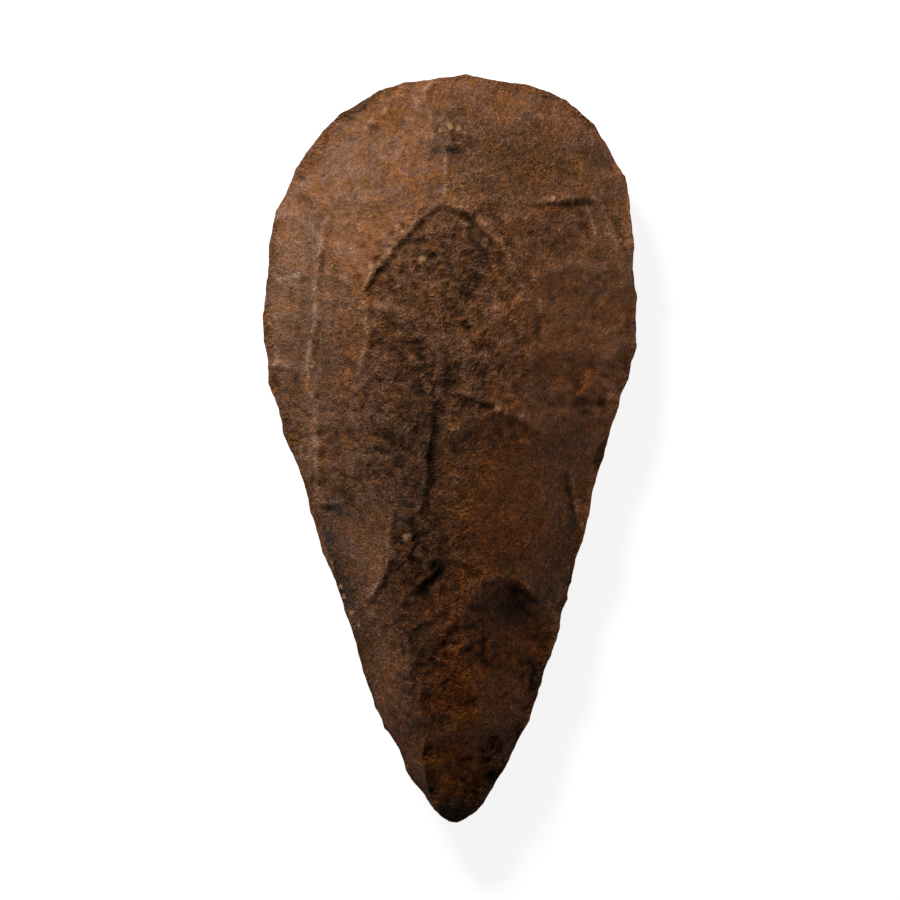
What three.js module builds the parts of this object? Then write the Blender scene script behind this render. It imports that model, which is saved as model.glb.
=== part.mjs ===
// A stone hand axe: one cobble of brown quartzite, flaked on both faces to a broad round butt and
// a blunt point. It lies on its flatter face, butt towards +Y and point towards -Y.
//
// The shape is worked out in the order in which such a tool is knapped. The edge is a closed line
// of corners with a shallow hollow between each two. Each face is a dome that rises from that
// edge. Broad flake scars are struck from the dome, then smaller ones, then one short scar behind
// each hollow of the edge. The under face is flat where it rests.
//
// Millimetres, +Z up, the origin on the ground under the middle of the outline.

import * as THREE from "three";

// ---------------------------------------------------------------- driving dimensions

const EDGE_HEIGHT = 17.2; // mean height of the edge above the ground
const TOP_SLOPE = 0.96; // rise of the upper dome for each millimetre in from the edge
const UNDER_SLOPE = 0.66; // the same for the flatter under face
const EDGE_STEP = 1.5; // spacing of the points worked out along the edge

// Both faces rise more steeply at the two ends, by these shares, which keeps the ends stout.
const POINT_SWELL = 0.55;
const POINT_SWELL_FROM = -30;
const POINT_SWELL_TO = -90;
const BUTT_SWELL = 0.2;
const BUTT_SWELL_FROM = 55;
const BUTT_SWELL_TO = 90;

// The solid is a net of rings that shrink from the edge to a spine inside the stone.
const SPINE_BUTT_END = [1, 50];
const SPINE_POINT_END = [1.5, -72];
const RINGS = 13; // from the edge to the spine
const SIDE_STEPS = 42; // net cells along each side
const BUTT_STEPS = 38; // and around the butt
const POINT_STEPS = 20; // and around the point
const CROWDING = 0.3; // how much closer the rings stand near the edge, 0 for evenly

// Corners of the edge, clockwise from the middle of the butt as seen from above: x, y, how far
// the corner stands above or below the mean plane, and the depth of the hollow that follows it
// (less than zero where the edge bulges).
const EDGE = [
  [4, 93.5, 0.6, 0.3],
  [18, 91.2, -0.8, -0.3],
  [29, 87, 0.6, 0],
  [36, 80.8, 1.4, 0.1],
  [40, 74.5, -0.4, 0.4],
  [43.8, 68.2, -1.6, -0.1],
  [45, 58.8, 0.8, 0],
  [45.9, 51.2, 1.8, 0.6],
  [46.7, 37.8, -1.2, 0.3],
  [46.7, 25.4, -2, 0.3],
  [44.5, 17, 0.2, 0.5],
  [42.2, 10.5, 1.4, 0.4],
  [38.3, -2.5, -1.2, 0.5],
  [34.6, -16.5, 1.6, 0.1],
  [33.5, -22, 0.8, 0.4],
  [30.3, -33, -1.4, 0.3],
  [29.2, -37.8, -0.6, 0.5],
  [27.2, -45.8, 1.2, 0.1],
  [25.1, -52, 0.4, 0.4],
  [22.9, -58.4, -1, 0.1],
  [21.2, -63.6, -0.6, 0.2],
  [19.8, -68, 0.8, 0.3],
  [14.9, -77.5, 0.9, -0.2],
  [11.8, -82.6, -0.6, 0],
  [8.4, -88.6, 0.2, -0.3],
  [3.1, -93, 0.6, -0.3],
  [-0.3, -93.4, 0.4, -0.3],
  [-5, -89.2, -0.4, 0.4],
  [-9.7, -82.9, 0.4, 0],
  [-11.2, -80.4, 0.6, 0.9],
  [-16.5, -70, -0.8, 0.2],
  [-18.8, -65, -0.6, 0.2],
  [-21.9, -55.8, 1, 0.4],
  [-26.3, -41, 1.2, 0.5],
  [-32, -26.3, -1.2, 0.2],
  [-35.3, -14.8, -1.4, 0.7],
  [-40, -0.6, 1, -0.1],
  [-41.9, 4.4, 1.6, 0.6],
  [-45.7, 16.1, -0.6, 0.5],
  [-46.6, 26, -1.6, 0],
  [-47, 33, -0.6, 0.2],
  [-46, 41.8, 1, 0.3],
  [-45.3, 50.6, 1.6, 0],
  [-43.6, 59.4, 0.4, 0.4],
  [-38.8, 69.8, -1.2, -0.3],
  [-30.8, 80.4, -0.6, 0],
  [-27.3, 83.9, 0.4, 0.3],
  [-17.9, 89.4, 1.2, 0.1],
  [-11.3, 91.5, 0.4, 0.2],
  [-2.4, 92.8, -0.4, 0.2],
];

// Places in EDGE where the round butt and the point end and the two long sides begin.
const BUTT_LEFT = 43;
const BUTT_RIGHT = 6;
const POINT_RIGHT = 21;
const POINT_LEFT = 30;

// Flake scars: the scar's middle x, y, the way the flake ran in degrees from +X, half its length,
// half its width, how far it is hollowed below its own rim, and how abruptly it stops in front and
// at its sides (2 fades out, 7 or more is a step). The broad ones come first.
const TOP_BROAD = [
  [-13, 88, -62, 10, 9, 0.5, 2, 2], // butt, left
  [3, 89, -95, 9, 9, 0.4, 2, 2], // butt, middle
  [26, 85, -128, 12, 12, 0.6, 2, 2], // butt, right
  [-17, 68, -48, 30, 22, 0.8, 2, 2], // broad face on the upper left
  [13, 76, -100, 16, 22, 0.8, 2, 2], // broad face on the upper right
  [-36, 45, 5, 14, 12, 0.3, 2, 2],
  [-26, 25, 10, 13, 11, 0.5, 2, 2],
  [0, 44, 90, 18, 17, 0.5, 2, 2], // middle, upper part
  [32, 53, 188, 15, 10, 0.6, 2, 2],
  [34, 34, 180, 15, 11, 0.6, 2, 2],
  [-7, 22, 105, 16, 13, 0.4, 2, 2], // middle, lower part
  [12, 24, 70, 13, 11, 0.4, 2, 2],
  [32, 17, 172, 13, 9, 0.5, 2, 2],
  [-38, 8, 20, 10, 10, 0.5, 2, 2],
  [-19, 2, -10, 15, 14, 0.4, 2, 2],
  [-18, -14, 0, 15, 11, 0.4, 2, 2],
  [14, -13, 190, 21, 20, 1.6, 2, 3], // the largest scar, struck from the right side
  [-24, -31, 15, 13, 15, 0.5, 2, 2],
  [-8, -36, 252, 19, 10, 1.5, 2, 2], // trough beside it
  [14, -52, 110, 18, 13, 0.8, 2, 3],
  [-16, -54, 15, 11, 12, 0.4, 2, 2],
  [-1, -56, 95, 16, 8, 0.3, 2, 2],
  [4, -81, 95, 14, 10, 0.4, 2, 2],
  [-10, -74, 45, 10, 8, 0.4, 2, 2],
];

// Later and smaller scars, most of which stop in a step, and the grooves between them.
const TOP_LATER = [
  [1, 73, -60, 5, 4, 0.5, 3, 2], // pit below the meeting of the butt ridges
  [0, 40, 135, 17, 17, 1.6, 7, 2], // step under the left arm of the angled ledge
  [-2, 44, 45, 15, 15, 1.2, 7, 2], // step under its right arm
  [-8, 29, 180, 13, 15, 0.5, 6, 2], // rough middle, left rim
  [29, 52, 185, 14, 9, 0.5, 3, 3], // right flank, under the upper ledge
  [32, 35, 180, 13, 10, 0.4, 2, 2],
  [-39, 55, 8, 9, 10, 1, 3, 2], // left flank, three scars side by side
  [-40, 40, 0, 9, 9, 1, 3, 2],
  [-41, 27, -6, 9, 8, 0.9, 3, 2],
  [-27, 37, 15, 5, 4, 0.5, 5, 2], // crater on the left ridge
  [-39, 8, 12, 6, 11, 1, 3, 6], // flank under the left step
  [-31, -3, -92, 11, 3.5, 1, 9, 2], // narrow strip that ends in a hinge
  [-38, -10, 18, 5, 8, 0.4, 3, 2],
  [12, 3, -80, 7, 7, 1.2, 2, 2], // under the small peak
  [36, 3, 185, 6, 10, 0.7, 3, 2],
  [41, 57, 186, 5, 9, 0.8, 3, 2], // outside the right ridge
  [33, -16, 175, 4, 9, 0.6, 4, 2],
  [27, -35, 170, 5, 7, 0.7, 4, 3],
  [15, -48, 95, 13, 13, 2, 6, 2], // steep below the largest scar
  [-18, -53, 10, 7, 10, 0.4, 6, 2],
  [4, -80, 92, 13, 12, 0.8, 5, 2], // struck from the point and stopped at the cross ridge
  [-9, -85, 40, 6, 5, 0.5, 5, 2],
  [15, -73, 150, 4, 4, 0.9, 3, 2],
  [42, 20, 165, 4, 5, 0.6, 3, 2],
];

// Crisp lines, at each of which the surface falls to the right of the way from the first end to
// the second: the ends x, y and x, y, how far the line bows to the left, the fall, and how far
// it reaches.
const TOP_STEPS = [
  [-22, 37, -1, 61.5, 2.2, 1.9, 8], // angled ledge, left arm
  [-1.5, 61, 16, 45, 1.8, 1.7, 7], // and right arm
  [12, 58, 18.5, 45, 1, 1.2, 3],
  [15, 60, 38.5, 61.5, 1, 1.2, 5], // upper ledge on the right
  [-31.5, -15, -34, 16, 0.5, 1.4, 5],
  [-46.5, 20, -35, 18.5, 0.5, 1.1, 6], // step across the left flank
  [-33, -13.5, -24.5, -12.5, -1, 1.3, 3],
  [-7.5, -19, -3, 13, 0.6, 1.4, 2.4], // long groove
  [0.5, 14, 12, 9.8, 0, 1.2, 6], // under the small peak
  [-21.5, -41, -14, -15, -2, 1.3, 7], // right ridge of the lower left scar
  [-12.6, -31.5, -5, -24, 0.5, 1.2, 2.2], // slanting steps in the trough
  [-12.5, -37.5, 1.5, -26.5, 0.5, 1.1, 2.2],
  [8, -33, 24, -37.5, 1.6, 2.1, 4], // below the largest scar
  [-10.5, -60, -10, -45, 0, 1.3, 3],
  [-5, -65.5, 15, -70, 0.5, 1.1, 6], // cross ridge by the point
  [-6, -77, -5.5, -65, 0, 1.3, 2.6],
];

const UNDER_BROAD = [
  [20, 72, 225, 20, 17, 0.7, 3, 2],
  [-16, 76, -60, 19, 17, 0.7, 3, 2],
  [-37, 44, -5, 13, 12, 0.8, 3, 2],
  [-36, 22, 8, 14, 11, 0.8, 4, 2],
  [38, 46, 185, 14, 12, 0.8, 3, 2],
  [37, 22, 172, 15, 12, 0.8, 3, 2],
  [-30, -6, 20, 15, 12, 0.8, 3, 2],
  [28, -6, 165, 15, 12, 0.8, 4, 2],
  [-20, -32, 25, 15, 11, 0.8, 3, 2],
  [19, -34, 150, 16, 12, 0.9, 3, 2],
  [-10, -56, 40, 14, 9, 0.7, 3, 2],
  [9, -62, 130, 14, 9, 0.7, 3, 2],
  [1, -82, 90, 11, 8, 0.6, 4, 2],
];

const STEP_WIDTH = 3; // how far the surface takes to fall beside a crisp line

// Short scars along the edge: their length beside the hollow they stand behind, how far each
// flake may run askew, and how deep it is.
const SHORT_SCAR_LONGEST = 12;
const SHORT_SCAR_SKEW = 50;
const SHORT_SCAR_HOLLOW = 0.3;

// ---------------------------------------------------------------- helpers

const radians = THREE.MathUtils.degToRad;

// A number from 0 to 1 that looks random but is the same in each run.
function vary(index, salt) {
  const wave = Math.sin(index * 12.9898 + salt * 78.233 + 4.1) * 43758.5453;
  return wave - Math.floor(wave);
}

// How much more steeply than in the middle of the stone the faces rise at this y.
function swell(y) {
  const point = THREE.MathUtils.smoothstep(-y, -POINT_SWELL_FROM, -POINT_SWELL_TO);
  const butt = THREE.MathUtils.smoothstep(y, BUTT_SWELL_FROM, BUTT_SWELL_TO);
  return 1 + POINT_SWELL * point + BUTT_SWELL * butt;
}

// The distance from one corner of the edge to the next, and the unit vector inwards.
function chord(index) {
  const from = EDGE[index];
  const to = EDGE[(index + 1) % EDGE.length];
  const length = Math.hypot(to[0] - from[0], to[1] - from[1]);
  const along = [(to[0] - from[0]) / length, (to[1] - from[1]) / length];
  return { from, to, length, inwards: [along[1], -along[0]] };
}

// ---------------------------------------------------------------- the edge

// Points along the edge. Between two corners it follows the chord, pressed inwards along a
// parabola by the depth of the hollow. starts[i] is the place of corner i in the line.
function edgeLine() {
  const points = [];
  const starts = [];
  for (let i = 0; i < EDGE.length; i += 1) {
    const { from, to, length, inwards } = chord(i);
    const count = Math.max(2, Math.round(length / EDGE_STEP));
    starts.push(points.length);
    for (let k = 0; k < count; k += 1) {
      const t = k / count;
      const press = from[3] * 4 * t * (1 - t);
      points.push([
        from[0] + (to[0] - from[0]) * t + inwards[0] * press,
        from[1] + (to[1] - from[1]) * t + inwards[1] * press,
        from[2] + (to[2] - from[2]) * t,
      ]);
    }
  }
  return { points, starts };
}

const edge = edgeLine();

// The stretch of the edge from one corner to another, clockwise, cut into equal steps. The last
// point is left out, because it is the first of the next stretch.
function stretch(fromCorner, toCorner, steps) {
  const count = edge.points.length;
  const last = edge.starts[toCorner];
  const path = new THREE.CurvePath();
  for (let k = edge.starts[fromCorner]; k !== last; k = (k + 1) % count) {
    const next = edge.points[(k + 1) % count];
    path.add(new THREE.LineCurve3(new THREE.Vector3(...edge.points[k]), new THREE.Vector3(...next)));
  }
  return path.getSpacedPoints(steps).slice(0, steps);
}

// How far a point is from the edge, in a soft way that makes a smooth dome, and the height of
// the edge around it. Each piece of edge counts as its length over the cube of its distance.
function surroundings(x, y) {
  let total = 0;
  let level = 0;
  const count = edge.points.length;
  for (let k = 0; k < count; k += 1) {
    const a = edge.points[k];
    const b = edge.points[(k + 1) % count];
    const length = Math.hypot(b[0] - a[0], b[1] - a[1]);
    const ux = (b[0] - a[0]) / length;
    const uy = (b[1] - a[1]) / length;
    const along = (x - a[0]) * ux + (y - a[1]) * uy;
    const across = Math.max(((x - a[0]) * uy - (y - a[1]) * ux) ** 2, 1e-5);
    const beyond = length - along;
    const ends = beyond / Math.sqrt(beyond ** 2 + across) + along / Math.sqrt(along ** 2 + across);
    const pull = ends / across;
    total += pull;
    level += (pull * (a[2] + b[2])) / 2;
  }
  return { reach: Math.sqrt(2 / total), level: level / total };
}

function isInside(x, y) {
  let inside = false;
  const count = edge.points.length;
  for (let k = 0; k < count; k += 1) {
    const a = edge.points[k];
    const b = edge.points[(k + 1) % count];
    const crosses = a[1] > y !== b[1] > y;
    if (crosses && x < a[0] + ((b[0] - a[0]) * (y - a[1])) / (b[1] - a[1])) {
      inside = !inside;
    }
  }
  return inside;
}

// ---------------------------------------------------------------- flake scars

// A scar of the tables, with its direction as a vector. A flake takes off no bulge of the dome
// unless it is given one below.
function scar([x, y, heading, halfLength, halfWidth, hollow, front, side]) {
  const along = [Math.cos(radians(heading)), Math.sin(radians(heading))];
  return { x, y, along, halfLength, halfWidth, hollow, bulge: 0, front, side };
}

// A broad scar also takes off what the dome stands up between the scar's two sides.
function broadScar(row, slope) {
  const { x, y, along, halfWidth, ...rest } = scar(row);
  const height = (px, py) => (isInside(px, py) ? slope * swell(py) * surroundings(px, py).reach : 0);
  const left = height(x - along[1] * halfWidth, y + along[0] * halfWidth);
  const right = height(x + along[1] * halfWidth, y - along[0] * halfWidth);
  return { x, y, along, halfWidth, ...rest, bulge: Math.max(height(x, y) - (left + right) / 2, 0) };
}

// One short scar behind each hollow of the edge.
function shortScar(index, salt) {
  const { from, to, length, inwards } = chord(index);
  const halfLength = Math.min(length, SHORT_SCAR_LONGEST) * (0.45 + 0.6 * vary(index, salt));
  const skew = radians(SHORT_SCAR_SKEW) * (vary(index, salt + 7) - 0.5);
  const heading = Math.atan2(inwards[1], inwards[0]) + skew;
  return {
    x: (from[0] + to[0]) / 2 + inwards[0] * halfLength * 0.45,
    y: (from[1] + to[1]) / 2 + inwards[1] * halfLength * 0.45,
    along: [Math.cos(heading), Math.sin(heading)],
    halfLength,
    halfWidth: length * (0.55 + 0.1 * vary(index, salt + 3)),
    hollow: SHORT_SCAR_HOLLOW * (0.5 + vary(index, salt + 11)),
    bulge: 0,
    front: vary(index, salt + 13) > 0.6 ? 4 : 2,
    side: 2,
  };
}

// The scars' outlines wander by about a millimetre.
function wander(x, y) {
  return [
    x + 1.1 * Math.sin(0.23 * y + 0.11 * x + 1) + 0.35 * Math.sin(0.53 * y - 0.31 * x + 2),
    y + 1.1 * Math.sin(0.21 * x - 0.13 * y + 4) + 0.35 * Math.sin(0.49 * x + 0.37 * y + 5),
  ];
}

// The height left after a set of scars is struck from it: at each point the deepest scar wins,
// which leaves a ridge where two meet, and a thin place loses less than a thick one.
function strike(height, x, y, scars) {
  const [px, py] = wander(x, y);
  let deepest = 0;
  for (const { x: scarX, y: scarY, along, halfLength, halfWidth, hollow, bulge, front, side } of scars) {
    const dx = px - scarX;
    const dy = py - scarY;
    const u = (dx * along[0] + dy * along[1]) / halfLength;
    const v = (dy * along[0] - dx * along[1]) / halfWidth;
    const lengthwise = (power) => (u > 0 ? u ** power : 0.6 * u ** 2);
    const hollowed = hollow * (1 - lengthwise(front) - Math.abs(v) ** side);
    deepest = Math.max(deepest, hollowed + bulge * (1 - lengthwise(2) - v ** 2));
  }
  return height * Math.exp(-deepest / height);
}

// How far the surface falls beside the crisp lines. Along a line t runs from 0 to 1, and its ends
// fade as 1 - (2t - 1)^4. The fall comes back to the right of it as exp(-(d / reach)^1.5).
function stepFall(x, y, rows) {
  let deepest = 0;
  for (const [startX, startY, endX, endY, bow, fall, reach] of rows) {
    const length = Math.hypot(endX - startX, endY - startY);
    const way = [(endX - startX) / length, (endY - startY) / length];
    const t = ((x - startX) * way[0] + (y - startY) * way[1]) / length;
    const right = (x - startX) * way[1] - (y - startY) * way[0] + bow * 4 * t * (1 - t);
    if (t > 0 && t < 1 && right > 0) {
      const there = (1 - (2 * t - 1) ** 4) * Math.exp(-((right / reach) ** 1.5));
      deepest = Math.max(deepest, fall * there * THREE.MathUtils.smoothstep(right, 0, STEP_WIDTH));
    }
  }
  return deepest;
}

// The height of one face at a place that is so far from the edge.
function makeFace(slope, broadRows, laterRows, stepRows, salt) {
  const stages = [
    broadRows.map((row) => broadScar(row, slope)),
    laterRows.map(scar),
    EDGE.map((_, index) => shortScar(index, salt)),
  ];
  return (x, y, reach) => {
    const height = stages.reduce((left, scars) => strike(left, x, y, scars), slope * swell(y) * reach);
    return height * Math.exp(-stepFall(x, y, stepRows) / height);
  };
}

const topHeight = makeFace(TOP_SLOPE, TOP_BROAD, TOP_LATER, TOP_STEPS, 1);
const underDepth = makeFace(UNDER_SLOPE, UNDER_BROAD, [], [], 2);

// ---------------------------------------------------------------- the solid

// Each point of the edge with the step of the spine that it looks at: the butt end of the spine
// for the whole butt, the point end for the whole point, and across at the sides.
function edgePosts() {
  const sides = [
    [stretch(BUTT_LEFT, BUTT_RIGHT, BUTT_STEPS), () => 0],
    [stretch(BUTT_RIGHT, POINT_RIGHT, SIDE_STEPS), (k) => k],
    [stretch(POINT_RIGHT, POINT_LEFT, POINT_STEPS), () => SIDE_STEPS],
    [stretch(POINT_LEFT, BUTT_LEFT, SIDE_STEPS), (k) => SIDE_STEPS - k],
  ];
  return sides.flatMap(([points, spineStep]) => points.map((at, k) => ({ at, spine: spineStep(k) })));
}

function onSpine(step) {
  const t = step / SIDE_STEPS;
  return [0, 1].map((axis) => SPINE_BUTT_END[axis] + (SPINE_POINT_END[axis] - SPINE_BUTT_END[axis]) * t);
}

// Rings crowd a little near the edge, where the stone is thin.
function inwards(ring) {
  const t = ring / RINGS;
  return t - CROWDING * t * (1 - t);
}

function buildStone() {
  const posts = edgePosts();
  const around = posts.length;
  const positions = [];

  // Two vertices, one on each face, over a place inside the outline.
  function addPair(x, y) {
    const { reach, level } = surroundings(x, y);
    const middle = EDGE_HEIGHT + level;
    const index = positions.length / 3;
    positions.push(x, y, middle + topHeight(x, y, reach));
    positions.push(x, y, Math.max(middle - underDepth(x, y, reach), 0));
    return [index, index + 1];
  }

  const spine = [];
  for (let step = 0; step <= SIDE_STEPS; step += 1) {
    spine.push(addPair(...onSpine(step)));
  }
  const net = posts.map(({ at, spine: step }) => {
    const post = [[positions.length / 3, positions.length / 3]];
    positions.push(at.x, at.y, EDGE_HEIGHT + at.z);
    const [sx, sy] = onSpine(step);
    for (let ring = 1; ring < RINGS; ring += 1) {
      const t = inwards(ring);
      post.push(addPair(at.x + (sx - at.x) * t, at.y + (sy - at.y) * t));
    }
    post.push(spine[step]);
    return post;
  });

  const faces = [];
  for (let k = 0; k < around; k += 1) {
    const here = net[k];
    const next = net[(k + 1) % around];
    for (let ring = 0; ring < RINGS; ring += 1) {
      for (const [a, b, c] of [
        [here[ring], next[ring], next[ring + 1]],
        [here[ring], next[ring + 1], here[ring + 1]],
      ]) {
        if (b !== c && a !== b && a !== c) {
          faces.push(a[0], c[0], b[0]);
          faces.push(a[1], b[1], c[1]);
        }
      }
    }
  }

  const geometry = new THREE.BufferGeometry();
  geometry.setAttribute("position", new THREE.Float32BufferAttribute(positions, 3));
  geometry.setIndex(faces);
  geometry.computeBoundingBox();
  const middle = geometry.boundingBox.getCenter(new THREE.Vector3());
  geometry.translate(-middle.x, -middle.y, 0);
  geometry.computeVertexNormals();
  return geometry;
}

const brownQuartzite = new THREE.MeshStandardMaterial({
  color: 0x563a28,
  roughness: 0.75,
  metalness: 0,
});

const handAxe = new THREE.Mesh(buildStone(), brownQuartzite);
handAxe.name = "hand_axe";

const model = new THREE.Group();
model.add(handAxe);

export default model;
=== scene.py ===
"""A stone hand axe of brown quartzite, flaked on both faces, lying on a pale floor.

The stone is worked out in the order in which such a tool is knapped: a ragged edge, a dome on each
side of it, broad flake scars, later and smaller scars, and one short scar behind each hollow of the
edge. Grain, ripples and pits come last. Lengths are in millimetres until the mesh is filled.
"""

import math

import bpy
import numpy as np
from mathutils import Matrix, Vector


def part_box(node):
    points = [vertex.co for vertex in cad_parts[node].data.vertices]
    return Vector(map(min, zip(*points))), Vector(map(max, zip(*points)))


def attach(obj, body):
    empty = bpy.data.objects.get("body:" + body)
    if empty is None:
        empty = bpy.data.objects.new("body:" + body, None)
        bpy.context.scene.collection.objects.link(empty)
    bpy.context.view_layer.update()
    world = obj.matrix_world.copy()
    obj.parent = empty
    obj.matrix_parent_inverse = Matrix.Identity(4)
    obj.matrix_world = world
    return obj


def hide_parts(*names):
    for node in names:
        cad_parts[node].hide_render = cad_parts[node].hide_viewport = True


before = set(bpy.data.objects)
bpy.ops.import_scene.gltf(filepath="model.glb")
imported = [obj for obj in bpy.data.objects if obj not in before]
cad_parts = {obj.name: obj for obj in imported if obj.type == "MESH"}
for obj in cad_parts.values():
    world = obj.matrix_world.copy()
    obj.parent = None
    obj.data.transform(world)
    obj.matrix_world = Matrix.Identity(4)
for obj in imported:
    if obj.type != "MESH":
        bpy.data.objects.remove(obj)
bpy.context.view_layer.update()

bl_info = {
    "name": "Stone hand axe",
    "version": (1, 0, 0),
    "blender": (4, 5, 0),
    "location": "3D View > Sidebar > Hand axe",
    "description": "Makes a flaked stone hand axe and the plain studio that it lies in",
    "category": "Add Mesh",
}

NODE = "hand_axe"
BODY = "root"
MM = 0.001

# ---------------------------------------------------------------- the edge and the scars

# Corners of the edge, clockwise from the middle of the butt as seen from above: x, y, how far the
# corner stands above or below the mean plane, and the depth of the hollow that follows it (less
# than zero where the edge bulges).
EDGE = [
    (4, 93.5, 0.6, 0.3),
    (18, 91.2, -0.8, -0.3),
    (29, 87, 0.6, 0),
    (36, 80.8, 1.4, 0.1),
    (40, 74.5, -0.4, 0.4),
    (43.8, 68.2, -1.6, -0.1),
    (45, 58.8, 0.8, 0),
    (45.9, 51.2, 1.8, 0.6),
    (46.7, 37.8, -1.2, 0.3),
    (46.7, 25.4, -2, 0.3),
    (44.5, 17, 0.2, 0.5),
    (42.2, 10.5, 1.4, 0.4),
    (38.3, -2.5, -1.2, 0.5),
    (34.6, -16.5, 1.6, 0.1),
    (33.5, -22, 0.8, 0.4),
    (30.3, -33, -1.4, 0.3),
    (29.2, -37.8, -0.6, 0.5),
    (27.2, -45.8, 1.2, 0.1),
    (25.1, -52, 0.4, 0.4),
    (22.9, -58.4, -1, 0.1),
    (21.2, -63.6, -0.6, 0.2),
    (19.8, -68, 0.8, 0.3),
    (14.9, -77.5, 0.9, -0.2),
    (11.8, -82.6, -0.6, 0),
    (8.4, -88.6, 0.2, -0.3),
    (3.1, -93, 0.6, -0.3),
    (-0.3, -93.4, 0.4, -0.3),
    (-5, -89.2, -0.4, 0.4),
    (-9.7, -82.9, 0.4, 0),
    (-11.2, -80.4, 0.6, 0.9),
    (-16.5, -70, -0.8, 0.2),
    (-18.8, -65, -0.6, 0.2),
    (-21.9, -55.8, 1, 0.4),
    (-26.3, -41, 1.2, 0.5),
    (-32, -26.3, -1.2, 0.2),
    (-35.3, -14.8, -1.4, 0.7),
    (-40, -0.6, 1, -0.1),
    (-41.9, 4.4, 1.6, 0.6),
    (-45.7, 16.1, -0.6, 0.5),
    (-46.6, 26, -1.6, 0),
    (-47, 33, -0.6, 0.2),
    (-46, 41.8, 1, 0.3),
    (-45.3, 50.6, 1.6, 0),
    (-43.6, 59.4, 0.4, 0.4),
    (-38.8, 69.8, -1.2, -0.3),
    (-30.8, 80.4, -0.6, 0),
    (-27.3, 83.9, 0.4, 0.3),
    (-17.9, 89.4, 1.2, 0.1),
    (-11.3, 91.5, 0.4, 0.2),
    (-2.4, 92.8, -0.4, 0.2),
]

# Places in EDGE where the round butt and the point end and the two long sides begin.
BUTT_LEFT = 43
BUTT_RIGHT = 6
POINT_RIGHT = 21
POINT_LEFT = 30

# Flake scars: the scar's middle x, y, the way the flake ran in degrees from +X, half its length,
# half its width, how far it is hollowed below its own rim, and how abruptly it stops in front and
# at its sides (2 fades out, 7 or more is a step).
TOP_BROAD = [
    (-13, 88, -62, 10, 9, 0.5, 2, 2),  # butt, left
    (3, 89, -95, 9, 9, 0.4, 2, 2),  # butt, middle
    (26, 85, -128, 12, 12, 0.6, 2, 2),  # butt, right
    (-17, 68, -48, 30, 22, 0.8, 2, 2),  # broad face on the upper left
    (13, 76, -100, 16, 22, 0.8, 2, 2),  # broad face on the upper right
    (-36, 45, 5, 14, 12, 0.3, 2, 2),
    (-26, 25, 10, 13, 11, 0.5, 2, 2),
    (0, 44, 90, 18, 17, 0.5, 2, 2),  # middle, upper part
    (32, 53, 188, 15, 10, 0.6, 2, 2),
    (34, 34, 180, 15, 11, 0.6, 2, 2),
    (-7, 22, 105, 16, 13, 0.4, 2, 2),  # middle, lower part
    (12, 24, 70, 13, 11, 0.4, 2, 2),
    (32, 17, 172, 13, 9, 0.5, 2, 2),
    (-38, 8, 20, 10, 10, 0.5, 2, 2),
    (-19, 2, -10, 15, 14, 0.4, 2, 2),
    (-18, -14, 0, 15, 11, 0.4, 2, 2),
    (14, -13, 190, 21, 20, 1.6, 2, 3),  # the largest scar, struck from the right side
    (-24, -31, 15, 13, 15, 0.5, 2, 2),
    (-8, -36, 252, 19, 10, 1.5, 2, 2),  # trough beside it
    (14, -52, 110, 18, 13, 0.8, 2, 3),
    (-16, -54, 15, 11, 12, 0.4, 2, 2),
    (-1, -56, 95, 16, 8, 0.3, 2, 2),
    (4, -81, 95, 14, 10, 0.4, 2, 2),
    (-10, -74, 45, 10, 8, 0.4, 2, 2),
]

# Later and smaller scars, most of which stop in a step, and the grooves between them.
TOP_LATER = [
    (1, 73, -60, 5, 4, 0.5, 3, 2),  # pit below the meeting of the butt ridges
    (0, 40, 135, 17, 17, 1.6, 7, 2),  # step under the left arm of the angled ledge
    (-2, 44, 45, 15, 15, 1.2, 7, 2),  # step under its right arm
    (-8, 29, 180, 13, 15, 0.5, 6, 2),  # rough middle, left rim
    (29, 52, 185, 14, 9, 0.5, 3, 3),  # right flank, under the upper ledge
    (32, 35, 180, 13, 10, 0.4, 2, 2),
    (-39, 55, 8, 9, 10, 1.0, 3, 2),  # left flank, three scars side by side
    (-40, 40, 0, 9, 9, 1.0, 3, 2),
    (-41, 27, -6, 9, 8, 0.9, 3, 2),
    (-27, 37, 15, 5, 4, 0.5, 5, 2),  # crater on the left ridge
    (-39, 8, 12, 6, 11, 1.0, 3, 6),  # flank under the left step
    (-31, -3, -92, 11, 3.5, 1.0, 9, 2),  # narrow strip that ends in a hinge
    (-38, -10, 18, 5, 8, 0.4, 3, 2),
    (12, 3, -80, 7, 7, 1.2, 2, 2),  # under the small peak
    (36, 3, 185, 6, 10, 0.7, 3, 2),
    (41, 57, 186, 5, 9, 0.8, 3, 2),  # outside the right ridge
    (33, -16, 175, 4, 9, 0.6, 4, 2),
    (27, -35, 170, 5, 7, 0.7, 4, 3),
    (15, -48, 95, 13, 13, 2.0, 6, 2),  # steep below the largest scar
    (-4, -3, 262, 17, 2.6, 0.8, 2, 2),  # long groove
    (-9, -27.5, 220, 5, 1.4, 0.8, 2, 2),  # short slanting grooves
    (-6, -32, 220, 8, 1.7, 1, 2, 2),
    (-11, -55, 270, 5, 1.2, 0.6, 2, 2),
    (-6, -69, 270, 4, 1.1, 0.7, 2, 2),
    (-18, -53, 10, 7, 10, 0.4, 6, 2),
    (4, -80, 92, 13, 12, 0.8, 5, 2),  # struck from the point and stopped at the cross ridge
    (-9, -85, 40, 6, 5, 0.5, 5, 2),
    (15, -73, 150, 4, 4, 0.9, 3, 2),
    (42, 20, 165, 4, 5, 0.6, 3, 2),
]

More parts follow.
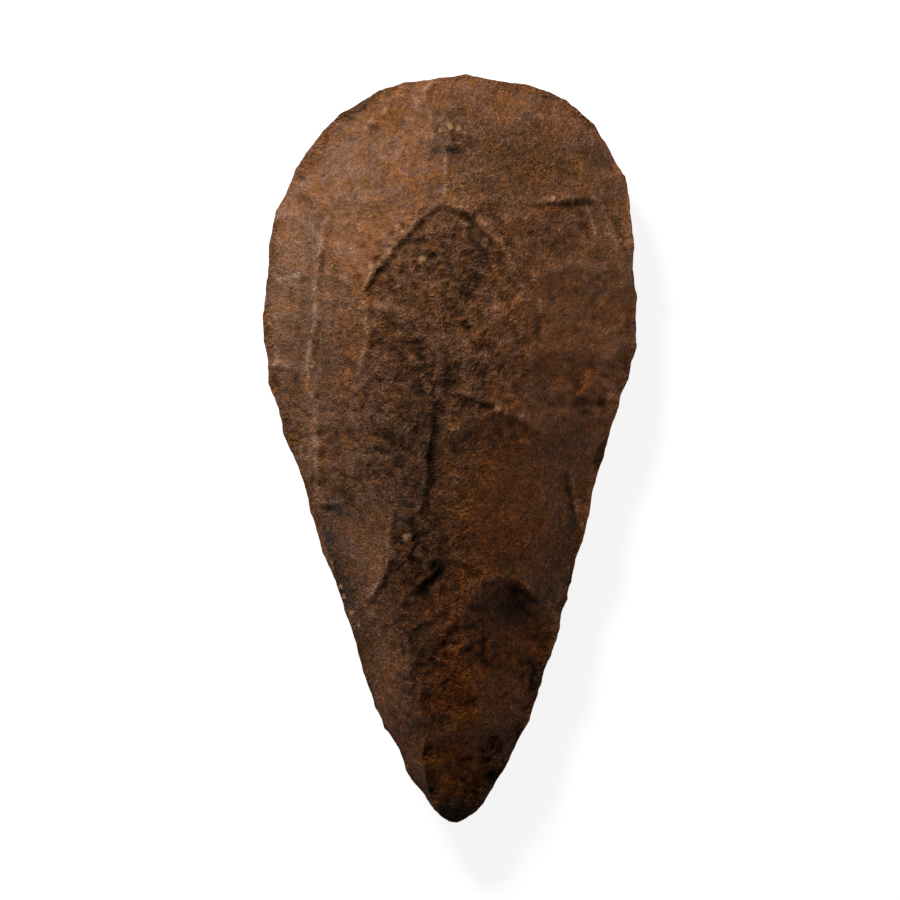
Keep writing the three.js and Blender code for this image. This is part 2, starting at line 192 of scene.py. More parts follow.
# Crisp lines, at which the surface falls to the right of the way from the first end to the second:
# the ends x, y and x, y, how far the line bows to the left, the fall, and how far it reaches.
TOP_STEPS = [
    (-22, 37, -1, 61.5, 2.2, 1.9, 8),  # angled ledge, left arm
    (-1.5, 61, 16, 45, 1.8, 1.7, 7),  # and right arm
    (12, 58, 18.5, 45, 1, 1.2, 3),
    (15, 60, 38.5, 61.5, 1, 1.2, 5),  # upper ledge on the right
    (19.5, 46, 23.5, 25, 0, 0.6, 4),
    (43.5, 46, 38.3, 67, 1.5, 0.8, 4),  # along the right edge
    (37, 60, 39.5, 48, 0.5, 0.4, 2),
    (33, 60.5, 35.5, 49, 0.5, 0.4, 2),
    (-35, 15, -30, 62, 0.5, 0.8, 5),  # long ridge on the left
    (-31.5, -15, -34, 16, 0.5, 1.4, 5),
    (-31, 41, -23, 39.5, 1.5, 0.6, 4),  # crater on it
    (-46.5, 20, -35, 18.5, 0.5, 1.1, 6),  # step across the left flank
    (-45.5, 41, -34, 43, 0.5, 0.5, 5),
    (-33, -13.5, -24.5, -12.5, -1, 1.3, 3),
    (-23, 16, -20.5, 38, -1, 0.5, 5),
    (-3, 12.5, -1.5, 25, 0, 0.6, 4),
    (-7.5, -19, -3, 13, 0.6, 1.4, 2.4),  # long groove
    (0.5, 14, 12, 9.8, 0, 1.2, 6),  # under the small peak
    (12, 9.8, 24, 3.5, 0, 0.8, 5),
    (-14, 2, -4, 8, 0.5, 0.6, 5),
    (-25, -2, -12, -1, -1, 0.5, 5),
    (31, 13.5, 43, 11.5, 0, 0.6, 5),
    (29.5, -5, 32.5, -18, 0, 0.9, 3),
    (-21.5, -41, -14, -15, -2, 1.3, 7),  # right ridge of the lower left scar
    (-12.6, -31.5, -5, -24, 0.5, 1.2, 2.2),  # slanting steps in the trough
    (-12.5, -37.5, 1.5, -26.5, 0.5, 1.1, 2.2),
    (-10, -45, 1, -38, 0.5, 0.8, 4),
    (0, -26, 9, -31, 0.4, 1.0, 4),
    (8, -33, 24, -37.5, 1.6, 2.1, 4),  # below the largest scar
    (22.5, -33, 27, -45, 0, 0.8, 3),
    (-10.5, -60, -10, -45, 0, 1.3, 3),
    (0, -52, 10, -46, 0.5, 0.6, 5),
    (-5, -65.5, 15, -70, 0.5, 1.1, 6),  # cross ridge by the point
    (-6, -77, -5.5, -65, 0, 1.3, 2.6),
    (-10, -77.5, -5.5, -80.5, 0.3, 0.7, 3),
    (2, -91, 14.5, -73, -0.8, 0.8, 4),
    (-22, 79, -14.5, 85.5, 0.6, 0.9, 8),  # faint ridges of the butt
    (-8, 85, -3, 91.5, 0.5, 0.8, 8),
    (0, 79, 9, 76.8, 0.3, 0.6, 5),
    (-1.2, 62, 0, 79, 0.4, 0.5, 9),
    (19, 84.5, 24, 79.5, 0.4, 0.5, 5),
]

UNDER_BROAD = [
    (20, 72, 225, 20, 17, 0.7, 3, 2),
    (-16, 76, -60, 19, 17, 0.7, 3, 2),
    (-37, 44, -5, 13, 12, 0.8, 3, 2),
    (-36, 22, 8, 14, 11, 0.8, 4, 2),
    (38, 46, 185, 14, 12, 0.8, 3, 2),
    (37, 22, 172, 15, 12, 0.8, 3, 2),
    (-30, -6, 20, 15, 12, 0.8, 3, 2),
    (28, -6, 165, 15, 12, 0.8, 4, 2),
    (-20, -32, 25, 15, 11, 0.8, 3, 2),
    (19, -34, 150, 16, 12, 0.9, 3, 2),
    (-10, -56, 40, 14, 9, 0.7, 3, 2),
    (9, -62, 130, 14, 9, 0.7, 3, 2),
    (1, -82, 90, 11, 8, 0.6, 4, 2),
]

# Soft spots, each with a middle x, y, half widths across and along the stone, and a strength.
ROUGH_SPOTS = [
    (-2, 44, 17, 15, 0.9),
    (-2, 22, 20, 17, 1.0),
    (-18, 2, 16, 15, 0.9),
    (-7, -30, 9, 16, 1.0),
    (0, -50, 16, 12, 0.9),
    (-10, -62, 10, 14, 0.7),
    (5, -80, 11, 13, 0.8),
    (18, -58, 8, 12, 0.8),
    (28, 55, 10, 5, 0.6),
    (34, 12, 9, 8, 0.8),
    (36, 30, 9, 18, 0.4),
    (-38, 8, 6, 14, 0.7),
    (0, 76, 7, 6, 0.7),
]
SLATE_SPOTS = [
    (-2, 74, 5, 4, 1.0),
    (3.5, 66, 2.5, 5, 0.7),
    (-6, 65, 5, 4, 0.7),
    (-23, 78, 6, 4, 0.5),
    (-17, 46, 5, 8, 0.5),
    (9, 53, 5, 4, 0.5),
    (-31, -25, 4, 8, 1.2),
    (-27, -37, 4, 7, 1.2),
    (-29, -15, 4, 2.5, 0.9),
    (-12, -14, 4, 6, 0.7),
    (29, -19, 4, 6, 0.9),
    (24, -36, 5, 5, 0.7),
    (30, 8, 8, 6, 0.5),
    (-9, 12, 5, 6, 0.5),
    (17.5, -72, 2.5, 4, 0.7),
    (1, -91, 5, 3, 0.5),
    (-40, 12, 5, 4, 0.5),
]
RUST_SPOTS = [
    (14, -14, 18, 16, 1.0),
    (22, 70, 14, 12, 0.5),
    (33, 34, 12, 9, 0.6),
    (34, -20, 3, 12, 1.0),
    (2, 12, 5, 3, 0.6),
    (20, 3, 7, 4, 0.6),
    (4, -56, 14, 12, 0.8),
    (-2, -76, 6, 8, 0.9),
    (-20, 30, 4, 12, 0.6),
    (-31, -2, 3, 8, 0.5),
    (-16, 82, 10, 5, 0.4),
]

# The same for places that are lighter or, where the strength is less than zero, darker than the
# # rest. This is partly the stone's own tone and partly painted light and shade on the facets.
TONE_AND_PAINTED_LIGHT_SPOTS = [
    (0, 86, 16, 6, -0.15),
    (18, 72, 20, 12, -0.58),
    (9, 63, 7, 4, -0.20),
    (1, 47, 15, 14, -0.32),
    (10, -62, 14, 24, 0.22),
    (22, 45, 6, 10, -0.20),
    (-4, 26, 16, 12, -0.36),
    (-8, 3, 13, 14, -0.50),
    # painted shadow under the small peak
    (13, 2, 8, 6, -0.38),
    (-38, 45, 7, 14, 0.12),
    (-44, 26, 5, 14, 0.35),
    (-34, 0, 4, 13, 0.65),
    (-24, 2, 6, 10, 0.20),
    (-20, -30, 5, 12, 0.45),
    (-28.5, -30, 3.5, 9, -0.45),
    (-25, -40, 3, 6, -0.30),
    (32, 34, 11, 12, 0.28),
    (43, 38, 5, 12, 0.25),
    (40, 57, 6, 9, 0.20),
    (35, 14, 9, 9, 0.36),
    (38, 2, 4, 12, 0.75),
    (20, 6, 8, 4, 0.42),
    (-7, -12, 4, 10, -0.20),
    (18, -26, 9, 8, -0.22),
    # painted shadow below the step under the largest scar
    (16, -40, 7, 4, -0.50),
    (0, -27, 6, 5, -0.25),
    (-6, -36, 6, 10, -0.12),
    (-38, 8, 6, 9, 0.15),
    (17, -58, 6, 9, 0.15),
    (-8, -52, 4, 10, -0.25),
    (-16, -56, 5, 14, 0.75),
    (8, -68, 8, 8, 0.2),
    (18, -54, 5, 9, 0.40),
    (-8, -70, 4, 4, -0.30),
    (3, -80, 9, 7, 0.75),
    (3, -92, 10, 6, -0.75),
    (5, 55, 3, 4, 0.55),
    (-7, 23, 7, 4, 0.15),
    (5, 41, 4, 4, -0.20),
    (28, 48, 4, 5, -0.18),
    (-5, 7, 4, 4, -0.22),
    (-27, -12, 3, 3, -0.40),
    (12, -28, 4, 3, -0.45),
    (15, -42, 6, 4, -0.35),
    (-1, -50, 5, 4, 0.30),
    (22, -54, 3, 5, 0.50),
    (-25, -46, 2, 8, 0.60),
    (12, -70, 3.5, 7, -0.32),
    (14, 5, 10, 2, 0.20),
    (-31, 2, 2, 7, 0.45),
    (37.5, -1, 2, 5, 0.40),
    (12, 61, 8, 3, -0.15),
    (8, 84, 8, 6, -0.10),
]

# The same for the stain: more rust, or more of a greyish tint where the strength is less than zero.
# # The greyish tint on the left, the side that faces the light, is partly painted sheen.
WARMTH_AND_SHEEN_SPOTS = [
    (7, -62, 15, 28, 1.10),
    (1, -84, 9, 9, 0.60),
    (-10, -70, 6, 8, 0.60),
    (22, -45, 8, 14, 0.40),
    (16, -20, 15, 16, 0.55),
    (14, 0, 8, 10, 0.45),
    (32, 18, 12, 16, 0.50),
    (22, 48, 12, 22, 0.20),
    (-5, -34, 7, 9, 0.35),
    (-40, 40, 12, 34, -0.95),
    (-26, 72, 18, 16, -0.75),
    (-34, 0, 7, 18, -0.50),
    (-24, -30, 7, 12, -0.45),
    (14, 72, 14, 10, -0.12),
]

# Crumbs of pale mineral and crust: x, y and radius.
PALE_CRUMBS = [
    (-7.1, 46.4, 1.0),
    (-10.6, -22.1, 1.1),
    (-12.9, 54.6, 0.7),
    (-15.1, 48.1, 0.8),
    (-13.8, 50.5, 0.6),
    (-19.5, 44.5, 0.6),
    (0, 79.8, 0.8),
    (-2.5, 78.9, 0.6),
    (25.4, 61.6, 0.8),
    (11.9, 9.6, 0.7),
    (-30.1, -28.4, 0.7),
    (-31, -31, 0.6),
    (-24.4, -41.1, 0.7),
    (-26.5, -37, 0.6),
    (-45.5, 31, 0.7),
    (-46, 27.5, 0.6),
    (-16.5, 47, 0.5),
    (-18, 45.5, 0.5),
    (-11.5, 53.2, 0.5),
    (2.2, 79.4, 0.5),
    (-4.5, 77.2, 0.5),
    (30.3, 61.3, 0.5),
    (38.5, 60, 0.5),
    (42.5, 52, 0.5),
    (13.8, 8.6, 0.5),
    (-34, 20.5, 0.5),
    (-27.5, -34.5, 0.5),
    (-22.8, -44.2, 0.5),
    (33, -19, 0.5),
    (29.5, -30, 0.5),
]

# Single pits: x, y, radius and depth.
DARK_PITS = [
    (-8, 57, 1.8, 0.6),
    (-13, 50, 1.6, 0.7),
    (-17, 45, 2.0, 0.8),
    (7, 57, 1.5, 0.6),
    (14.5, 51, 1.3, 0.4),
    (4, 30, 1.2, 0.5),
    (30, 60, 1.4, 0.5),
    (-3, 74, 1.4, 0.5),
    (2.5, 73.5, 1.4, 0.5),
    (-25, -12.5, 1.8, 0.5),
    (-30, -13.5, 1.8, 0.5),
    (-14, -66, 1.4, 0.4),
]

# ---------------------------------------------------------------- shape constants

EDGE_HEIGHT = 17.2 * MM  # mean height of the edge above the floor
EDGE_STEP = 1.5  # spacing of the points worked out along the edge
NICK_DEPTH = 0.16  # size of the finest nicks in the edge
NO_DISTANCE = 1e-5  # smallest square of a distance from the edge

# The faces rise more steeply towards the point and the butt, by these shares of the slope.
POINT_SWELL = 0.55
POINT_SWELL_FROM = -30
POINT_SWELL_TO = -90
BUTT_SWELL = 0.2
BUTT_SWELL_FROM = 55
BUTT_SWELL_TO = 90

# The net runs in rings from the edge to a spine inside the stone.
SPINE_BUTT_END = (1, 50)
SPINE_POINT_END = (1.5, -72)
SIDE_STEPS = 206  # net cells along each side
BUTT_STEPS = 196  # around the butt
POINT_STEPS = 96  # around the point
TOP_RINGS = 92
UNDER_RINGS = 45
CROWDING = 0.35  # how much closer the rings stand near the edge, 0 for evenly

# How widely the ridge between two scars is rounded.
BROAD_ROUNDING = 0.2
LATER_ROUNDING = 0.05
SHORT_ROUNDING = 0.06

SCAR_UNEVENNESS = 0.5  # wide swings of a scar's depth
SHORT_SCAR_LONGEST = 12
SHORT_SCAR_SKEW = 50  # degrees
SHORT_SCAR_HOLLOW = 0.3

# The crisp lines.
STRAIGHTER = 0.45  # share of the scars' wander that the lines have
STEP_WIDTH = 1.4  # how far the surface takes to fall beside a line
LIP = 0.15  # share of the fall that the lip above it has
RIM_WIDTH = 0.5  # half width of the pale rim on the lip
PAINTED_SHADE = 0.22  # share by which painted shade darkens the stone's colour right under a line
FULL_SHADE = 1.5  # a line that falls so far or further has all of that painted shade

RELIEF_FADE = 2.5  # the roughness fades out this close to the edge
RIPPLE_HEIGHT = 0.07
RIPPLES_FROM = (40, -9)  # where the largest scar was struck
RIPPLED_SPOT = (13, -14, 17, 14, 1)  # and the soft spot that it covers
CRUMB_HEIGHT = 0.45
PITTED_HALF_WIDTH = 47
PITTED_HALF_LENGTH = 93

# Seeds. Those of single noises are the last number in their calls, and differ from call to call.
TOP_WANDER = 11
UNDER_WANDER = 13
TOP_SALT = 1
UNDER_SALT = 2

# The numbers of the scars, by which each has its own tone, go on from these.
LATER_NUMBERS = 30
SHORT_NUMBERS = 60
UNDER_NUMBERS = 120

LATTICE = 256  # the noise repeats after so many swings
SMOOTHING_ROUNDS = (8, 30, 90)  # for fine, middling and coarse hollows

# ---------------------------------------------------------------- stage constants

WHITE = (1.0, 1.0, 1.0, 1.0)
KEY_TINT = (1.0, 0.985, 0.96)
FLOOR_HALF_WIDTH = 6.0
SENSOR_WIDTH = 36.0  # millimetres
VIEW_MIDDLE = -0.4 * MM  # y of the place that the camera looks at


# ---------------------------------------------------------------- numbers over the plane

def ease(value, start, end):
    """0 before start, 1 after end, and 3t^2 - 2t^3 of the share t of the way between them."""
    share = np.clip((value - start) / (end - start), 0, 1)
    return share * share * (3 - 2 * share)


def vary(index, salt):
    """A number from 0 to 1 that looks random but never changes: the fraction of a tall sine."""
    return np.sin(index * 12.9898 + salt * 78.233 + 4.1) * 43758.5453 % 1.0


def noise(x, y, size, seed):
    """Smooth noise from about -1 to 1, with one swing in each `size` millimetres.

    Each point of a square lattice holds a slope in a random direction. A place takes the four
    slopes around it, each as a tilted plane, and eases between them with 6t^5 - 15t^4 + 10t^3.
    """
    turns = np.random.default_rng(seed).uniform(0, 2 * np.pi, LATTICE * LATTICE)
    column = np.floor(x / size).astype(int)
    row = np.floor(y / size).astype(int)
    across = x / size - column
    up = y / size - row

    def plane(right, above):
        turn = turns[(column + right) % LATTICE * LATTICE + (row + above) % LATTICE]
        return np.cos(turn) * (across - right) + np.sin(turn) * (up - above)

    def smooth(t):
        return t * t * t * (t * (6 * t - 15) + 10)

    low = plane(0, 0) + (plane(1, 0) - plane(0, 0)) * smooth(across)
    high = plane(0, 1) + (plane(1, 1) - plane(0, 1)) * smooth(across)
    return 1.5 * (low + (high - low) * smooth(up))


def layered(x, y, size, seed, layers=3, fading=0.55):
    """Noise in layers, each with half the size and `fading` times the height of the last one."""
    total = np.zeros_like(x)
    for layer in range(layers):
        total += fading**layer * noise(x, y, size / 2**layer, seed + layer)
    return total


def soft(x, y, rows):
    """Each soft spot's value at each place: its strength times exp(-r^2), r in its half widths."""
    for at_x, at_y, half_x, half_y, strength in rows:
        yield strength * np.exp(-(((x - at_x) / half_x) ** 2) - ((y - at_y) / half_y) ** 2)


def spots(x, y, rows):
    """The strongest of several soft spots, and 0 away from them."""
    strongest = np.zeros_like(x)
    for spot in soft(x, y, rows):
        strongest = np.maximum(strongest, spot)
    return strongest


def shift(x, y, rows):
    """The sum of several soft spots, of which some take away."""
    return sum(soft(x, y, rows))


# ---------------------------------------------------------------- the edge

def chords():
    """For each corner: it, the next one, their distance and the unit vector inwards."""
    start = np.array(EDGE)
    end = np.roll(start, -1, axis=0)
    length = np.hypot(*(end - start)[:, :2].T)
    along = (end - start)[:, :2] / length[:, None]
    return start, end, length, np.column_stack([along[:, 1], -along[:, 0]])


def edge_line():
    """Points along the edge, and the place of each corner in them.

    Between two corners the line follows the chord, pressed inwards by 4 t (1 - t) times the
    hollow's depth.
    """
    points = []
    starts = []
    for start, end, length, inwards in zip(*chords()):
        count = max(2, round(length / EDGE_STEP))
        t = (np.arange(count) / count)[:, None]
        place = start[:3] + (end[:3] - start[:3]) * t
        place[:, :2] += inwards * start[3] * 4 * t * (1 - t)
        starts.append(sum(len(stretch) for stretch in points))
        points.append(place)
    return np.concatenate(points), starts


def resampled(line, first, last, steps):
    """Part of the line, clockwise, cut into equal steps and without its last point."""
    order = np.arange(first, last + 1 if last > first else last + len(line) + 1) % len(line)
    path = line[order]
    run = np.concatenate([[0], np.cumsum(np.hypot(*np.diff(path[:, :2], axis=0).T))])
    wanted = run[-1] * np.arange(steps) / steps
    return np.column_stack([np.interp(wanted, run, path[:, axis]) for axis in range(3)])


def surroundings(x, y, line):
    """How far each place is from the edge, in a soft way, and the edge's height there.

    The soft distance makes a smooth dome. Each piece of edge counts as its length over the cube of
    its distance, summed exactly along the piece. The distance is the root of 2 over the total, and
    the height is the mean with these weights.
    """
    ends = np.roll(line, -1, axis=0)
    length = np.hypot(*(ends - line)[:, :2].T)
    unit = (ends - line)[:, :2] / length[:, None]
    height = (line[:, 2] + ends[:, 2]) / 2
    total = np.zeros_like(x)
    level = np.zeros_like(x)
    for start, way, span, rise in zip(line, unit, length, height):
        along = (x - start[0]) * way[0] + (y - start[1]) * way[1]
        across = (x - start[0]) * way[1] - (y - start[1]) * way[0]
        across = np.maximum(across**2, NO_DISTANCE)
        beyond = span - along
        pull = beyond / np.sqrt(beyond**2 + across) + along / np.sqrt(along**2 + across)
        total += pull / across
        level += pull / across * rise
    return np.sqrt(2 / total), level / total


def is_inside(x, y, line):
    """Whether each place is inside the line.

    From there a ray to the right crosses the line an odd number of times.
    """
    ends = np.roll(line, -1, axis=0)
    rows_x, rows_y = x[:, None], y[:, None]
    crosses = (line[:, 1] > rows_y) != (ends[:, 1] > rows_y)
    rise = np.where(ends[:, 1] == line[:, 1], 1, ends[:, 1] - line[:, 1])
    meets = line[:, 0] + (ends[:, 0] - line[:, 0]) * (rows_y - line[:, 1]) / rise
    return np.count_nonzero(crosses & (rows_x < meets), axis=1) % 2 == 1


# ---------------------------------------------------------------- flake scars

def swell(y):
    """How much more steeply than in the middle of the stone the faces rise at this y."""
    point = ease(-y, -POINT_SWELL_FROM, -POINT_SWELL_TO)
    butt = ease(y, BUTT_SWELL_FROM, BUTT_SWELL_TO)
    return 1 + POINT_SWELL * point + BUTT_SWELL * butt


def bulges(rows, slope, line):
    """How far the dome stands up between the two sides of each broad scar.

    That is its height at the scar's middle, less the mean of its heights at the two sides.
    """
    x, y, heading, _, half_width = np.array(rows)[:, :5].T
    side_x = -np.sin(np.radians(heading)) * half_width
    side_y = np.cos(np.radians(heading)) * half_width
    all_x = np.concatenate([x, x + side_x, x - side_x])
    all_y = np.concatenate([y, y + side_y, y - side_y])
    dome = slope * swell(all_y) * surroundings(all_x, all_y, line)[0]
    middle, left, right = np.split(np.where(is_inside(all_x, all_y, line), dome, 0), 3)
    return np.maximum(middle - (left + right) / 2, 0)


def short_scars(salt):
    """One short scar behind each hollow of the edge, in the same form as the tables."""
    start, end, length, inwards = chords()
    index = np.arange(len(EDGE))
    half_length = np.minimum(length, SHORT_SCAR_LONGEST) * (0.45 + 0.6 * vary(index, salt))
    heading = np.degrees(np.arctan2(inwards[:, 1], inwards[:, 0]))
    middle = (start + end)[:, :2] / 2 + inwards * half_length[:, None] * 0.45
    return np.column_stack([
        middle,
        heading + SHORT_SCAR_SKEW * (vary(index, salt + 7) - 0.5),
        half_length,
        length * (0.55 + 0.1 * vary(index, salt + 3)),
        SHORT_SCAR_HOLLOW * (0.5 + vary(index, salt + 11)),
        np.where(vary(index, salt + 13) > 0.6, 4, 2),
        np.full(len(EDGE), 2),
    ])


def wander(x, y, seed):
    """Where a place is looked up in the scars, so that their outlines wander and are ragged.

    Each place is moved by two waves of sines, 1.1 and 0.35 mm high, and by layered noise, 0.6 mm
    high.
    """
    moved_x = x + 1.1 * np.sin(0.23 * y + 0.11 * x + 1) + 0.35 * np.sin(0.53 * y - 0.31 * x + 2)
    moved_y = y + 1.1 * np.sin(0.21 * x - 0.13 * y + 4) + 0.35 * np.sin(0.49 * x + 0.37 * y + 5)
    return moved_x + 0.6 * layered(x, y, 5, seed), moved_y + 0.6 * layered(x, y, 5, seed + 10)


def straighter(x, y, wandered):
    """Where a place is looked up in the crisp lines, which wander less than the scars do."""
    return [start + STRAIGHTER * (end - start) for start, end in zip((x, y), wandered)]


def strike(height, x, y, rows, bulge, rounding):
    """The height left after a set of scars is struck from it, and the deepest scar there.

    A scar cuts hollow * (1 - u^front - |v|^side) + bulge * (1 - u^2 - v^2), where u and v run along
    and across it in its half sizes. Behind the middle 0.6 u^2 stands for both powers of u. Wide
    noise is added, a different share of it for each scar, so that the ridges between them aren't
    regular. The deepest scar wins, with the ridge between two rounded by a sum of exponentials, and
    height * exp(-cut / height) is left, so that a thin place loses less than a thick one.
    """
    total = np.ones_like(height)
    deepest = np.zeros_like(height)
    which = np.full(height.shape, -1)
    uneven = SCAR_UNEVENNESS * layered(x, y, 13, 90)
    for index, (row, dome) in enumerate(zip(rows, bulge)):
        at_x, at_y, heading, half_length, half_width, hollow, front, side = row
        turn = math.radians(heading)
        u = ((x - at_x) * math.cos(turn) + (y - at_y) * math.sin(turn)) / half_length
        v = ((y - at_y) * math.cos(turn) - (x - at_x) * math.sin(turn)) / half_width
        tail = 0.6 * u**2
        cut = hollow * (1 - np.where(u > 0, np.abs(u) ** front, tail) - np.abs(v) ** side)
        cut += dome * (1 - np.where(u > 0, u**2, tail) - v**2) + uneven * (vary(index, 5) - 0.5)
        which = np.where(cut > deepest, index, which)
        deepest = np.maximum(deepest, cut)
        total += np.expm1(np.clip(cut, 0, None) / rounding)
    return height * np.exp(-rounding * np.log(total) / np.maximum(height, 1e-6)), which


def beside(x, y, rows):
    """How each place lies to each crisp line.

    Gives how far right of the line it is, how much of the line is there, the line's fall and its
    reach. Along a line t runs from 0 to 1. The line stands 4 t (1 - t) times its bow to the left of
    the chord, and its ends fade as 1 - (2t - 1)^4.
    """
    for start_x, start_y, end_x, end_y, bow, fall, reach in rows:
        length = math.hypot(end_x - start_x, end_y - start_y)
        way_x, way_y = (end_x - start_x) / length, (end_y - start_y) / length
        t = ((x - start_x) * way_x + (y - start_y) * way_y) / length
        right = (x - start_x) * way_y - (y - start_y) * way_x + bow * 4 * t * (1 - t)
        yield right, np.clip(1 - (2 * t - 1) ** 4, 0, 1), fall, reach


def beneath(right, reach):
    """1 in the gutter right of a line and 0 on its left, fading as exp(-(d / reach)^1.5)."""
    return ease(right, -0.4, STEP_WIDTH) * np.exp(-(np.clip(right, 0, None) / reach) ** 1.5)


def steps(x, y, rows):
    """How far the surface falls beside the crisp lines.

    It is less than nothing on the lips above them, each of which is a share of the fall times
    exp(-d^2 / 4). Noise makes the fall larger and smaller along a line.
    """
    total = np.zeros_like(x)
    uneven = 0.8 + 0.7 * noise(x, y, 7, 61) + 0.4 * noise(x, y, 2.6, 62)
    for right, there, fall, reach in beside(x, y, rows):
        lip = LIP * np.exp(-(right**2) / 4) * (right < 0)
        total = np.maximum(total, fall * there * beneath(right, reach)) - fall * there * lip
    return total * np.clip(uneven, 0.15, None)


def rims(x, y, rows):
    """How far each place lies on the pale rim of a crisp line, which noise breaks up.

    The rim is exp(-(d / RIM_WIDTH)^2), d from the middle of the rim, half a millimetre left of the
    line.
    """
    strongest = np.zeros_like(x)
    for right, there, *_ in beside(x, y, rows):
        strongest = np.maximum(strongest, there * np.exp(-(((right + 0.5) / RIM_WIDTH) ** 2)))
    return strongest * ease(noise(x, y, 4, 63) + 0.5 * noise(x, y, 1.5, 64), -0.35, 0.35)


def painted_shade_under_lines(x, y, rows):
    """How far each place lies under a crisp line, where shade is painted into the colour.

    That is `beneath`, times the line's fall up to FULL_SHADE.
    """
    deepest = np.zeros_like(x)
    for right, there, fall, reach in beside(x, y, rows):
        deepest = np.maximum(deepest, there * beneath(right, reach) * min(fall / FULL_SHADE, 1))
    return deepest


def crumbs(x, y, size, seed):
    """Round lumps with sharp creases between them: the highest of three noises, less a third."""
    highest = np.maximum(noise(x, y, size, seed), noise(x + size / 3, y, size * 0.9, seed + 100))
    return np.maximum(highest, noise(x, y + size / 3, size * 1.15, seed + 200)) - 1 / 3


def hackles(x, y, rows, which, seed):
    """Fine lines the way each flake ran: noise that is long along the scar and short across."""
    heading = np.radians(np.append([row[2] for row in rows], 90))[which]
    along = x * np.cos(heading) + y * np.sin(heading)
    across = y * np.cos(heading) - x * np.sin(heading)
    return layered(along / 9, across, 1.6, seed, layers=2)


def ripples(x, y):
    """Waves on the largest scar: sin(1.5 d), d from where it was struck, shifted by the noise."""
    away = np.hypot(x - RIPPLES_FROM[0], y - RIPPLES_FROM[1])
    return spots(x, y, [RIPPLED_SPOT]) * np.sin(1.5 * away + 1.5 * noise(x, y, 9, 60))


def pits(x, y, rows):
    """Round holes: each is its depth times exp(-r^4), r in radii, wandering with the noise."""
    moved_x = x + 0.5 * noise(x, y, 1.7, 71)
    moved_y = y + 0.5 * noise(x, y, 1.7, 72)
    total = np.zeros_like(x)
    for at_x, at_y, radius, depth in rows:
        spread = ((moved_x - at_x) ** 2 + (moved_y - at_y) ** 2) / radius**2
        total += depth * np.exp(-spread**2)
    return total


def scattered_pits(seed, count, smallest, largest):
    """Rows of small pits at random places, a fifth to nearly half as deep as their radius."""
    random = np.random.default_rng(seed)
    radius = random.uniform(smallest, largest, count)
    return np.column_stack([
        random.uniform(-PITTED_HALF_WIDTH, PITTED_HALF_WIDTH, count),
        random.uniform(-PITTED_HALF_LENGTH, PITTED_HALF_LENGTH, count),
        radius,
        radius * random.uniform(0.2, 0.45, count),
    ])


# ---------------------------------------------------------------- the net

def net_posts(line, starts):
    """The points of the edge that start the net's lines, with the spine step each looks at."""
    stretches = [
        (BUTT_LEFT, BUTT_RIGHT, BUTT_STEPS, np.zeros(BUTT_STEPS, int)),
        (BUTT_RIGHT, POINT_RIGHT, SIDE_STEPS, np.arange(SIDE_STEPS)),
        (POINT_RIGHT, POINT_LEFT, POINT_STEPS, np.full(POINT_STEPS, SIDE_STEPS)),
        (POINT_LEFT, BUTT_LEFT, SIDE_STEPS, SIDE_STEPS - np.arange(SIDE_STEPS)),
    ]
    points = [resampled(line, starts[a], starts[b], steps) for a, b, steps, _ in stretches]
    return np.concatenate(points), np.concatenate([spine for *_, spine in stretches])


def nicks(points):
    """The posts with the edge's finest nicks: they move along the edge's normal with the noise."""
    ahead = np.roll(points, -1, axis=0)[:, :2] - np.roll(points, 1, axis=0)[:, :2]
    inwards = np.column_stack([ahead[:, 1], -ahead[:, 0]]) / np.hypot(*ahead.T)[:, None]
    depth = NICK_DEPTH * layered(points[:, 0], points[:, 1], 2.6, 31)
    nicked = points.copy()
    nicked[:, :2] += inwards * depth[:, None]
    return nicked


def net(posts, spine_steps, rings):
    """x and y of every vertex inside one face, and the triangles that join them, facing up.

    Vertex numbers: the posts come first, then the spine, then the rings from the edge inwards. A
    line of the net runs straight from its post to its step of the spine, at shares t - c t (1 - t)
    of the way.
    """
    around = len(posts)
    ends = np.array([SPINE_BUTT_END, SPINE_POINT_END], float)
    spine = ends[0] + (ends[1] - ends[0]) * (np.arange(SIDE_STEPS + 1) / SIDE_STEPS)[:, None]
    t = np.arange(1, rings) / rings
    t = (t - CROWDING * t * (1 - t))[:, None, None]
    inner = posts[None, :, :2] + (spine[spine_steps][None] - posts[None, :, :2]) * t
    numbers = np.vstack([
        np.arange(around),
        around + len(spine) + np.arange((rings - 1) * around).reshape(rings - 1, around),
        around + spine_steps,
    ])
    here, ahead = numbers[:-1], np.roll(numbers[:-1], -1, axis=1)
    inward, across = numbers[1:], np.roll(numbers[1:], -1, axis=1)
    triangles = np.concatenate([
        np.stack([here, across, ahead], -1).reshape(-1, 3),
        np.stack([here, inward, across], -1).reshape(-1, 3),
    ])
    whole = (triangles[:, 1] != triangles[:, 2]) & (triangles[:, 0] != triangles[:, 1])
    return np.concatenate([spine, inner.reshape(-1, 2)]), triangles[whole]


def worn(reach, radius):
    """The distance from the edge, near it sqrt(d^2 + 2 r d) instead, which rounds the edge."""
    share = np.exp(-reach / (5 * radius))
    return reach + (np.sqrt(reach**2 + 2 * radius * reach) - reach) * share


def flaked(x, y, line, slope, settings, seed, sets):
    """The dome of one face with each set of scars struck from it.

    The first set takes off the dome's bulges too. Gives each place's distance from the edge, the
    edge's height there, the face's height above or below that, where the place is looked up in the
    scars, and the scar of each set that it lies in, -1 for none.
    """
    reach, level = surroundings(x, y, line)
    wandered = wander(x, y, seed)
    height = slope * swell(y) * worn(reach, settings.edge_wear / MM)
    found = []
    for rows, rounding in sets:
        bulge = np.zeros(len(rows)) if found else bulges(rows, slope, line)
        height, which = strike(height, *wandered, rows, bulge, rounding)
        found.append(which)
    return reach, level, height, wandered, found


